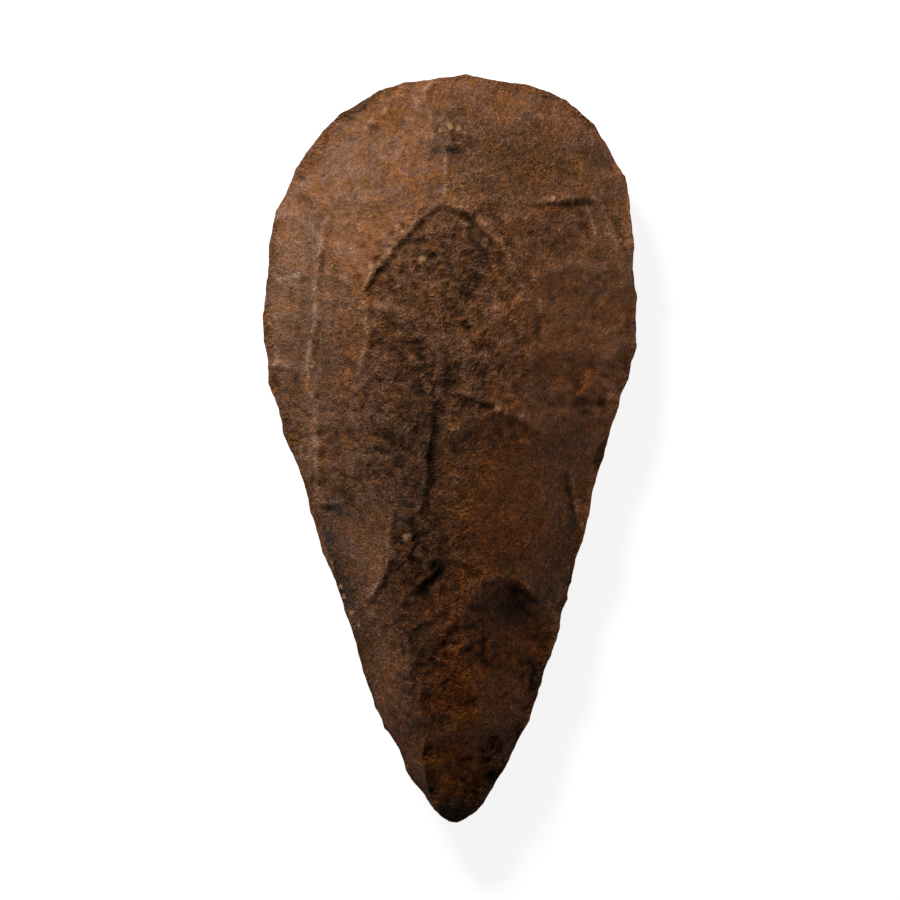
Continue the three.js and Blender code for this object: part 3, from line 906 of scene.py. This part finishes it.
def top_surface(x, y, line, settings):
    """Heights of the upper face over the edge's mean plane, and the scar at each place.

    In each line of the relief the numbers are how far lumps of one size stand out in smooth places,
    and how much further in rough ones.
    """
    sets = (
        (TOP_BROAD, BROAD_ROUNDING),
        (TOP_LATER, LATER_ROUNDING),
        (short_scars(TOP_SALT), SHORT_ROUNDING),
    )
    reach, level, height, wandered, (broad, later, short) = flaked(
        x, y, line, settings.top_slope, settings, TOP_WANDER, sets
    )
    fall = steps(*straighter(x, y, wandered), TOP_STEPS)
    height *= np.exp(-fall / np.maximum(height, 1))
    rough = spots(x, y, ROUGH_SPOTS) * (0.75 + 0.5 * noise(x, y, 11, 21))
    relief = (0.28 + 0.40 * rough) * noise(x, y, 9, 20)
    relief += (0.16 + 0.46 * rough) * layered(x, y, 4.6, 22, layers=2)
    relief += (0.12 + 0.72 * rough) * crumbs(x, y, 3.6, 24)
    relief += (0.10 + 0.55 * rough) * crumbs(x, y, 2.0, 26)
    relief += RIPPLE_HEIGHT * ripples(x, y)
    relief -= pits(x, y, DARK_PITS)
    relief += pits(x, y, [(*row, CRUMB_HEIGHT) for row in PALE_CRUMBS])
    relief -= pits(x, y, scattered_pits(5, 260, 0.5, 1.3)) * (0.25 + 0.9 * rough)
    relief *= settings.relief * ease(reach, 0, RELIEF_FADE)
    scar = np.where(later >= 0, later + LATER_NUMBERS, broad)
    return level + height + relief, np.where(short >= 0, short + SHORT_NUMBERS, scar)


def under_surface(x, y, line, settings):
    """Heights of the under face over the edge's mean plane, and the scar at each place."""
    sets = (UNDER_BROAD, BROAD_ROUNDING), (short_scars(UNDER_SALT), SHORT_ROUNDING)
    reach, level, height, _, (broad, short) = flaked(
        x, y, line, settings.under_slope, settings, UNDER_WANDER, sets
    )
    relief = 0.13 * layered(x, y, 4.6, 122) + 0.05 * layered(x, y, 2.2, 126, layers=2)
    relief += 0.04 * hackles(x, y, UNDER_BROAD, broad, 141)
    relief *= settings.relief * ease(reach, 0, RELIEF_FADE)
    scar = np.where(short >= 0, short + SHORT_NUMBERS, broad) + UNDER_NUMBERS
    return level - height + relief, scar


def stone_mesh(settings):
    """Vertices in metres, triangles, and the number of the scar under each vertex."""
    line, starts = edge_line()
    posts, spine_steps = net_posts(line, starts)
    posts = nicks(posts)
    edge_height = settings.edge_height / MM
    around = len(posts)

    top_xy, top_triangles = net(posts, spine_steps, TOP_RINGS)
    top_z, top_scar = top_surface(*top_xy.T, line, settings)
    under_xy, under_triangles = net(posts, spine_steps, UNDER_RINGS)
    under_z, under_scar = under_surface(*under_xy.T, line, settings)
    under_z = np.maximum(edge_height + under_z, 0)

    posts[:, 2] += edge_height
    vertices = np.concatenate([
        posts,
        np.column_stack([top_xy, edge_height + top_z]),
        np.column_stack([under_xy, under_z]),
    ])
    shifted = np.where(under_triangles >= around, under_triangles + len(top_xy), under_triangles)
    triangles = np.concatenate([top_triangles, shifted[:, ::-1]])
    scars = np.concatenate([np.full(around, -1), top_scar, under_scar])

    low, high = (np.array(corner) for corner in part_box(NODE))
    middle = (vertices.min(0) + vertices.max(0)) / 2 * MM
    vertices = vertices * MM
    vertices[:, :2] += ((low + high) / 2 - middle)[:2]
    return vertices, triangles, scars


# ---------------------------------------------------------------- wear, hollows and stains

def neighbour_mean(values, pairs, counts):
    """The mean of each vertex's neighbours."""
    total = np.column_stack([
        np.bincount(pairs[:, 0], column[pairs[:, 1]], len(values))
        + np.bincount(pairs[:, 1], column[pairs[:, 0]], len(values))
        for column in values.T
    ])
    return total / counts[:, None]


def standing_proud(mesh, vertices, rounds):
    """How far each vertex stands out, along its normal, from the surface once smoothed.

    Each round of smoothing moves every vertex halfway to the mean of its neighbours.
    """
    pairs = np.empty(len(mesh.edges) * 2, np.int32)
    mesh.edges.foreach_get("vertices", pairs)
    pairs = pairs.reshape(-1, 2)
    counts = np.bincount(pairs.ravel(), minlength=len(vertices))
    normals = np.empty(len(vertices) * 3, np.float32)
    mesh.vertex_normals.foreach_get("vector", normals)
    smooth = vertices
    for _ in range(rounds):
        smooth = (smooth + neighbour_mean(smooth, pairs, counts)) / 2
    return np.einsum("ij,ij->i", vertices - smooth, normals.reshape(-1, 3))


def paint(mesh, vertices, scars, edge_height):
    """Writes the numbers that the stone's material reads to the mesh's vertices.

    Hollows, ridges and lumps come from how far a vertex stands out from the smoothed surface,
    between two distances in millimetres. The stains come from the tables of spots, and the under
    face has even ones. The tone also holds painted shade under the crisp lines and the painted
    light and shade of some tone spots, and the greyish end of the warm spots is partly painted
    sheen. All numbers run from 0 to 1, except that the tone, which multiplies the colour, may pass
    1, and the warmth may pass both ends, past which the tint stays the same.
    """
    x, y = vertices[:, 0] / MM, vertices[:, 1] / MM
    fine, middling, coarse = (standing_proud(mesh, vertices, n) / MM for n in SMOOTHING_ROUNDS)
    upper = vertices[:, 2] > edge_height
    line_x, line_y = straighter(x, y, wander(x, y, TOP_WANDER))
    pale = pits(x, y, [(*row, 1) for row in PALE_CRUMBS])
    # Painted shade: the tone is darkened under each crisp line as if its ledge shaded it. The tone
    # spots added below are partly painted light and shade.
    shade = PAINTED_SHADE * painted_shade_under_lines(line_x, line_y, TOP_STEPS)
    tone = 0.35 + 0.85 * ease(y + 14 * noise(x, y, 40, 81), -95, 95)
    numbers = {
        "worn_ridge": ease(fine, 0.05, 0.16),
        "rough": np.where(upper, spots(x, y, ROUGH_SPOTS), 0.4),
        "fine_hollow": ease(-fine, 0.01, 0.12),
        "lump": ease(middling, -0.15, 0.2),
        "deep_hollow": ease(-coarse, 0.1, 0.8),
        "scar_tone": vary(scars, 3),
        "slate": np.where(upper, spots(x, y, SLATE_SPOTS), 0),
        "rust": np.where(upper, spots(x, y, RUST_SPOTS), 0.3),
        "rim": np.where(upper, rims(line_x, line_y, TOP_STEPS), 0),
        "pale_crumb": np.where(upper, ease(pale, 0.1, 0.8), 0),
        "tone": tone * (1 + np.where(upper, shift(x, y, TONE_AND_PAINTED_LIGHT_SPOTS) - shade, 0)),
        "warmth": 0.5 + np.where(upper, shift(x, y, WARMTH_AND_SHEEN_SPOTS), 0) / 2,
    }
    for name, values in numbers.items():
        attribute = mesh.attributes.new(name, "FLOAT", "POINT")
        attribute.data.foreach_set("value", values.astype(np.float32))


# ---------------------------------------------------------------- the stone's material

class Link:
    """An output of a shader node. Arithmetic on it adds Math nodes."""

    def __init__(self, shader, socket):
        self.shader = shader
        self.socket = socket

    def _math(self, operation, first, second):
        return self.shader.add("ShaderNodeMath", {"operation": operation}, {0: first, 1: second})

    def __add__(self, other):
        return self._math("ADD", self, other)

    def __radd__(self, other):
        return self._math("ADD", other, self)

    def __sub__(self, other):
        return self._math("SUBTRACT", self, other)

    def __rsub__(self, other):
        return self._math("SUBTRACT", other, self)

    def __mul__(self, other):
        return self._math("MULTIPLY", self, other)

    def __rmul__(self, other):
        return self._math("MULTIPLY", other, self)

    def __rpow__(self, other):
        return self._math("POWER", other, self)


class Shader:
    """The node tree of one material."""

    def __init__(self, name):
        self.material = bpy.data.materials.new(name)
        self.material.use_nodes = True
        self.tree = self.material.node_tree
        self.tree.nodes.clear()

    def add(self, kind, settings=None, inputs=None, output=0):
        """Adds a node: its settings, with a ramp's stops as (place, colour), then its inputs."""
        node = self.tree.nodes.new(kind)
        for name, value in (settings or {}).items():
            if name == "stops":
                self._set_stops(node.color_ramp, value)
            else:
                setattr(node, name, value)
        for name, value in (inputs or {}).items():
            if isinstance(value, Link):
                self.tree.links.new(value.socket, node.inputs[name])
            else:
                node.inputs[name].default_value = value
        return Link(self, node.outputs[output]) if node.outputs else None

    def _set_stops(self, ramp, stops):
        while len(ramp.elements) < len(stops):
            ramp.elements.new(1)
        for element, (place, colour) in zip(ramp.elements, stops):
            element.position = place
            element.color = colour

    def attribute(self, name):
        """A number that the mesh holds for each vertex."""
        return self.add("ShaderNodeAttribute", {"attribute_name": name}, output="Fac")

    def noise(self, place, per_mm, detail=2.0, roughness=0.5, distortion=0.0):
        """Noise from 0 to 1 with so many swings to a millimetre."""
        inputs = {
            "Vector": place,
            "Scale": per_mm,
            "Detail": detail,
            "Roughness": roughness,
            "Distortion": distortion,
        }
        return self.add("ShaderNodeTexNoise", {"noise_dimensions": "3D"}, inputs, "Fac")

    def between(self, value, start, end):
        """0 where the value is below start, 1 above end, and smooth between."""
        settings = {"interpolation_type": "SMOOTHSTEP"}
        inputs = {"Value": value, "From Min": start, "From Max": end}
        return self.add("ShaderNodeMapRange", settings, inputs)

    def mix(self, share, first, second, blend="MIX"):
        """Mixes two colours."""
        settings = {"data_type": "RGBA", "blend_type": blend, "clamp_factor": True}
        return self.add("ShaderNodeMix", settings, {0: share, 6: first, 7: second}, 2)


def quartzite(settings):
    """Brown quartzite: a mottled body with stains, dark soil in the hollows and worn pale ridges.

    The noises are numbered by their swings to a millimetre. Each stain is a mask from 0 to 1, made
    of one or two noises and of what the mesh says about the place, times the most that it covers.
    The finished colour is multiplied by the tone, which holds painted light and shade besides the
    stone's own tone, and by e to the power of the sum of the finer noises, which makes dark and
    light grains alike, and then by the tint of the patina, whose greyish end is partly painted
    sheen. The same fine noises are the bump.
    """
    shader = Shader("brown_quartzite")
    place = shader.add("ShaderNodeTexCoord", output="Object")
    place = shader.add("ShaderNodeVectorMath", {"operation": "SCALE"}, {0: place, "Scale": 1 / MM})

    clouds = shader.noise(place, 0.07, 3, 0.6, 0.4)
    patches = shader.noise(place, 0.16, 3, 0.55, 0.6)
    hues = shader.noise(place, 0.28, 2, 0.55, 0.8)
    blotches = shader.noise(place, 0.33, 4, 0.6)
    flecks = shader.noise(place, 0.75, 3, 0.6)
    grains = shader.noise(place, 1.15, 3, 0.65)
    specks = shader.noise(place, 1.9, 2, 0.5)
    dust = shader.noise(place, 2.8, 2, 0.6)

    lump = shader.attribute("lump")
    rough = shader.attribute("rough")
    # The tone holds painted shade under the crisp lines and painted light and shade from the tone
    # spots.
    tone = shader.attribute("tone")

    def stain(body, cover, colour):
        """The body with the colour over it, as far as it covers."""
        return shader.mix(cover, body, tuple(colour))

    # Stains of the stone itself.
    light = shader.between(clouds, 0.3, 0.7)
    body = shader.mix(light, tuple(settings.dark_brown), tuple(settings.mid_brown))
    mauve = shader.between(hues + lump * 0.08, 0.47, 0.66)
    body = stain(body, mauve * 0.7, settings.mauve)
    rust = shader.between(patches + shader.attribute("rust") * 0.22, 0.50, 0.76)
    body = stain(body, rust * 0.75, settings.rust)
    body = stain(body, shader.between(hues, 0.50, 0.36) * 0.5, settings.rust)
    slate = shader.attribute("slate") * 0.30 - lump * 0.06
    body = stain(body, shader.between(blotches + slate, 0.58, 0.82) * 0.75, settings.slate)

    # Soil in the hollows, wear on the ridges and pale rims along the crisp lines.
    deep = shader.attribute("deep_hollow") + 0.5 * (blotches - 0.5)
    body = stain(body, shader.between(deep, 0.3, 0.95) * 0.4, settings.soil)
    body = stain(body, shader.attribute("fine_hollow") * 0.45, settings.soil)
    worn_ridge = shader.attribute("worn_ridge") * shader.between(blotches, 0.42, 0.62)
    body = stain(body, worn_ridge * 0.3, settings.pale)
    body = stain(body, shader.attribute("rim") * 0.75, settings.pale)

    # Grains, dark and light, which show more on dark and smooth places.
    coarseness = 1.0 - 0.45 * shader.between(tone, 0.45, 1.1) - 0.10 * rough
    speckle = 2.2 * (flecks - 0.5) + 1.8 * (0.5 - grains)
    speckle = speckle + 2.8 * (specks - 0.5) + 2.6 * (dust - 0.5)
    mottle = 0.9 * (blotches - 0.5) + 0.8 * (patches - 0.5)
    tone = tone + 0.14 * (shader.attribute("scar_tone") - 0.5)
    # Rough places are darker, partly their own colour and partly painted shade for the shadows
    # among their lumps; there the lumps are lighter and the hollows darker.
    tone = tone - 0.12 * rough + 0.16 * (lump - 0.5) * rough
    tone = tone * math.e ** (coarseness * speckle + mottle) * 1.30
    body = shader.add("ShaderNodeVectorMath", {"operation": "SCALE"}, {0: body, "Scale": tone})

    # The tint of the patina, whose greyish end is partly painted sheen, and crumbs on top of it.
    tints = [
        (0.0, tuple(settings.grey_and_sheen_tint)),
        (0.5, (0.74, 0.74, 0.74, 1.0)),
        (1.0, tuple(settings.rust_tint)),
    ]
    warmth = shader.attribute("warmth")
    tint = shader.add("ShaderNodeValToRGB", {"stops": tints}, {"Fac": warmth})
    body = shader.mix(1.0, body, tint, "MULTIPLY")
    body = stain(body, shader.attribute("pale_crumb") * 0.7, settings.crumb)

    height = 0.5 * grains + 0.35 * specks + 0.3 * dust + (0.4 + rough) * flecks
    bump = {"Strength": 1.0, "Distance": settings.grain_depth, "Height": height}
    black = shader.between(grains, 0.52, 0.68)
    inputs = {
        "Base Color": body,
        "Roughness": 0.68 - 0.12 * shader.between(patches, 0.4, 0.7) + 0.1 * black,
        "Normal": shader.add("ShaderNodeBump", None, bump),
        "Specular IOR Level": 0.1,
    }
    surface = shader.add("ShaderNodeBsdfPrincipled", None, inputs)
    shader.add("ShaderNodeOutputMaterial", None, {"Surface": surface})
    return shader.material


# ---------------------------------------------------------------- settings, operators and panel

def number_setting(name, description, default, **kind):
    """A setting that is one number."""
    return bpy.props.FloatProperty(name=name, description=description, default=default, **kind)


def length_setting(name, description, metres):
    """A setting that is a length."""
    return number_setting(name, description, metres, unit="LENGTH", precision=5)


def colour_setting(name, description, *red_green_blue):
    """A setting that is a colour."""
    return bpy.props.FloatVectorProperty(
        name=name,
        description=description,
        default=(*red_green_blue, 1.0),
        subtype="COLOR",
        size=4,
    )


class StoneSettings(bpy.types.PropertyGroup):
    """Sizes and colours of the hand axe."""

    edge_height: length_setting(
        "Edge height", "Mean height of the edge above the floor", EDGE_HEIGHT
    )
    top_slope: number_setting(
        "Upper slope", "Rise of the upper dome for each unit in from the edge", 0.96
    )
    under_slope: number_setting(
        "Under slope", "Fall of the flatter under face for each unit in from the edge", 0.66
    )
    edge_wear: length_setting("Edge wear", "Radius to which the edge is worn", 0.25 * MM)
    relief: number_setting(
        "Relief",
        "Share of the full depth that the roughness of the scars has",
        1.0,
        subtype="FACTOR",
    )
    grain_depth: length_setting("Grain depth", "Depth of the finest grain", 1.8 * MM)
    mid_brown: colour_setting(
        "Mid brown", "Lighter colour of the stone's body", 0.290, 0.125, 0.054
    )
    dark_brown: colour_setting(
        "Dark brown", "Darker colour of the stone's body", 0.190, 0.080, 0.034
    )
    rust: colour_setting("Rust", "Colour of the iron stains", 0.270, 0.092, 0.020)
    mauve: colour_setting("Mauve", "Colour of the greyish pink patches", 0.280, 0.126, 0.070)
    slate: colour_setting("Slate", "Colour of the blue-grey stains", 0.060, 0.045, 0.040)
    # The grey tint is partly painted sheen on the side of the stone that faces the light.
    grey_and_sheen_tint: colour_setting(
        "Grey tint",
        "What the colours are multiplied by where the patina is greyish",
        0.69, 0.80, 0.97,
    )
    rust_tint: colour_setting(
        "Rust tint",
        "What the colours are multiplied by where the stone is stained most",
        0.80, 0.52, 0.15,
    )
    soil: colour_setting(
        "Soil", "Colour of the dark grains and of what fills the hollows", 0.017, 0.009, 0.005
    )
    crumb: colour_setting(
        "Crumb", "Colour of the crumbs of pale mineral and crust", 0.580, 0.300, 0.145
    )
    pale: colour_setting(
        "Pale grain", "Colour of fresh grains and rubbed ridges", 0.460, 0.250, 0.140
    )


class StageSettings(bpy.types.PropertyGroup):
    """Light, floor and camera."""

    key_power: number_setting("Key light", "Power of the large soft light", 3.3, unit="POWER")
    key_size: length_setting("Key size", "Side of the large soft light", 0.18)
    key_distance: length_setting(
        "Key distance", "Distance from the stone to the large soft light", 0.60
    )
    key_turn: number_setting(
        "Key direction",
        "Direction of the light around the stone, from +X towards +Y",
        math.radians(118),
        unit="ROTATION",
    )
    key_height: number_setting(
        "Key height", "Angle of the light above the floor", math.radians(42), unit="ROTATION"
    )
    fill_strength: number_setting("Fill", "Brightness of the even light from all round", 0.07)
    floor_colour: colour_setting("Floor colour", "Colour of the plain floor", 0.40, 0.40, 0.40)
    floor_glow: number_setting(
        "Floor glow",
        "Light that the floor gives off, as a lit table does, for a faint shadow",
        0.88,
    )
    frame_width: length_setting(
        "Frame width", "Width of the view at the height of the stone's edge", 0.225
    )
    lens: number_setting("Lens", "Focal length of the camera in millimetres", 200.0)


class HANDAXE_OT_stone(bpy.types.Operator):
    """Makes the flaked stone in place of its plain solid"""

    bl_idname = "hand_axe.stone"
    bl_label = "Make stone"

    def execute(self, context):
        settings = context.scene.hand_axe_stone
        vertices, triangles, scars = stone_mesh(settings)
        mesh = bpy.data.meshes.new("hand_axe_stone")
        mesh.from_pydata(vertices.tolist(), [], triangles.tolist())
        mesh.polygons.foreach_set("use_smooth", np.ones(len(mesh.polygons), bool))
        if mesh.validate():
            raise RuntimeError("the stone's net has faces that had to be mended")
        paint(mesh, vertices, scars, settings.edge_height)
        mesh.materials.append(quartzite(settings))
        stone = bpy.data.objects.new("hand_axe_stone", mesh)
        context.scene.collection.objects.link(stone)
        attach(stone, BODY)
        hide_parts(NODE)
        return {"FINISHED"}


class HANDAXE_OT_stage(bpy.types.Operator):
    """Makes the pale floor, the soft studio light and the camera"""

    bl_idname = "hand_axe.stage"
    bl_label = "Make stage"

    def execute(self, context):
        settings = context.scene.hand_axe_stage
        make_floor(context, settings)
        make_key_light(context, settings)
        make_room(context, settings)
        make_camera(context, settings)
        return {"FINISHED"}


def make_floor(context, settings):
    """A large square of four corners at the height on which the stone rests."""
    corners = np.array([(-1, -1, 0), (1, -1, 0), (1, 1, 0), (-1, 1, 0)]) * FLOOR_HALF_WIDTH
    mesh = bpy.data.meshes.new("floor")
    mesh.from_pydata(corners.tolist(), [], [(0, 1, 2, 3)])
    shader = Shader("pale_floor")
    surface = shader.add(
        "ShaderNodeBsdfPrincipled",
        None,
        {
            "Base Color": tuple(settings.floor_colour),
            "Roughness": 0.9,
            "Specular IOR Level": 0.0,
            "Emission Color": WHITE,
            "Emission Strength": settings.floor_glow,
        },
    )
    shader.add("ShaderNodeOutputMaterial", None, {"Surface": surface})
    mesh.materials.append(shader.material)
    floor = bpy.data.objects.new("floor", mesh)
    context.scene.collection.objects.link(floor)


def make_key_light(context, settings):
    """One large soft light beyond the butt, towards the left, that shines at the stone."""
    data = bpy.data.lights.new("key", "AREA")
    data.energy = settings.key_power
    data.shape = "SQUARE"
    data.size = settings.key_size
    data.color = KEY_TINT
    towards = Vector((
        math.cos(settings.key_height) * math.cos(settings.key_turn),
        math.cos(settings.key_height) * math.sin(settings.key_turn),
        math.sin(settings.key_height),
    ))
    key = bpy.data.objects.new("key", data)
    key.location = towards * settings.key_distance
    key.rotation_mode = "QUATERNION"
    key.rotation_quaternion = towards.to_track_quat("Z", "Y")
    context.scene.collection.objects.link(key)


def make_room(context, settings):
    """A white room all round, which gives a weak even fill and is seen at its full brightness."""
    world = bpy.data.worlds.new("studio")
    world.use_nodes = True
    tree = world.node_tree
    fill = tree.nodes["Background"]
    fill.inputs["Strength"].default_value = settings.fill_strength
    seen = tree.nodes.new("ShaderNodeBackground")
    for background in (fill, seen):
        background.inputs["Color"].default_value = WHITE
    rays = tree.nodes.new("ShaderNodeLightPath")
    chosen = tree.nodes.new("ShaderNodeMixShader")
    tree.links.new(rays.outputs["Is Camera Ray"], chosen.inputs["Fac"])
    tree.links.new(fill.outputs["Background"], chosen.inputs[1])
    tree.links.new(seen.outputs["Background"], chosen.inputs[2])
    tree.links.new(chosen.outputs["Shader"], tree.nodes["World Output"].inputs["Surface"])
    context.scene.world = world


def make_camera(context, settings):
    """A long lens straight above the stone, at the distance that gives the wanted frame width."""
    data = bpy.data.cameras.new("camera")
    data.lens = settings.lens
    data.sensor_width = SENSOR_WIDTH
    data.clip_end = 20.0
    distance = settings.frame_width * settings.lens / SENSOR_WIDTH
    camera = bpy.data.objects.new("camera", data)
    camera.location = (0, VIEW_MIDDLE, EDGE_HEIGHT + distance)
    context.scene.collection.objects.link(camera)
    context.scene.camera = camera
    context.scene.view_settings.view_transform = "Standard"


class HANDAXE_PT_panel(bpy.types.Panel):
    """Lists the hand axe's settings and the two steps that make it"""

    bl_label = "Hand axe"
    bl_idname = "HANDAXE_PT_panel"
    bl_space_type = "VIEW_3D"
    bl_region_type = "UI"
    bl_category = "Hand axe"

    def draw(self, context):
        for settings, operator in (
            (context.scene.hand_axe_stone, HANDAXE_OT_stone),
            (context.scene.hand_axe_stage, HANDAXE_OT_stage),
        ):
            box = self.layout.box()
            for name in settings.__annotations__:
                box.prop(settings, name)
            box.operator(operator.bl_idname)


CLASSES = (StoneSettings, StageSettings, HANDAXE_OT_stone, HANDAXE_OT_stage, HANDAXE_PT_panel)


def register():
    for cls in CLASSES:
        bpy.utils.register_class(cls)
    bpy.types.Scene.hand_axe_stone = bpy.props.PointerProperty(type=StoneSettings)
    bpy.types.Scene.hand_axe_stage = bpy.props.PointerProperty(type=StageSettings)


def unregister():
    del bpy.types.Scene.hand_axe_stage
    del bpy.types.Scene.hand_axe_stone
    for cls in reversed(CLASSES):
        bpy.utils.unregister_class(cls)


def main():
    register()
    bpy.ops.hand_axe.stone()
    bpy.ops.hand_axe.stage()


if __name__ == "__main__":
    main()
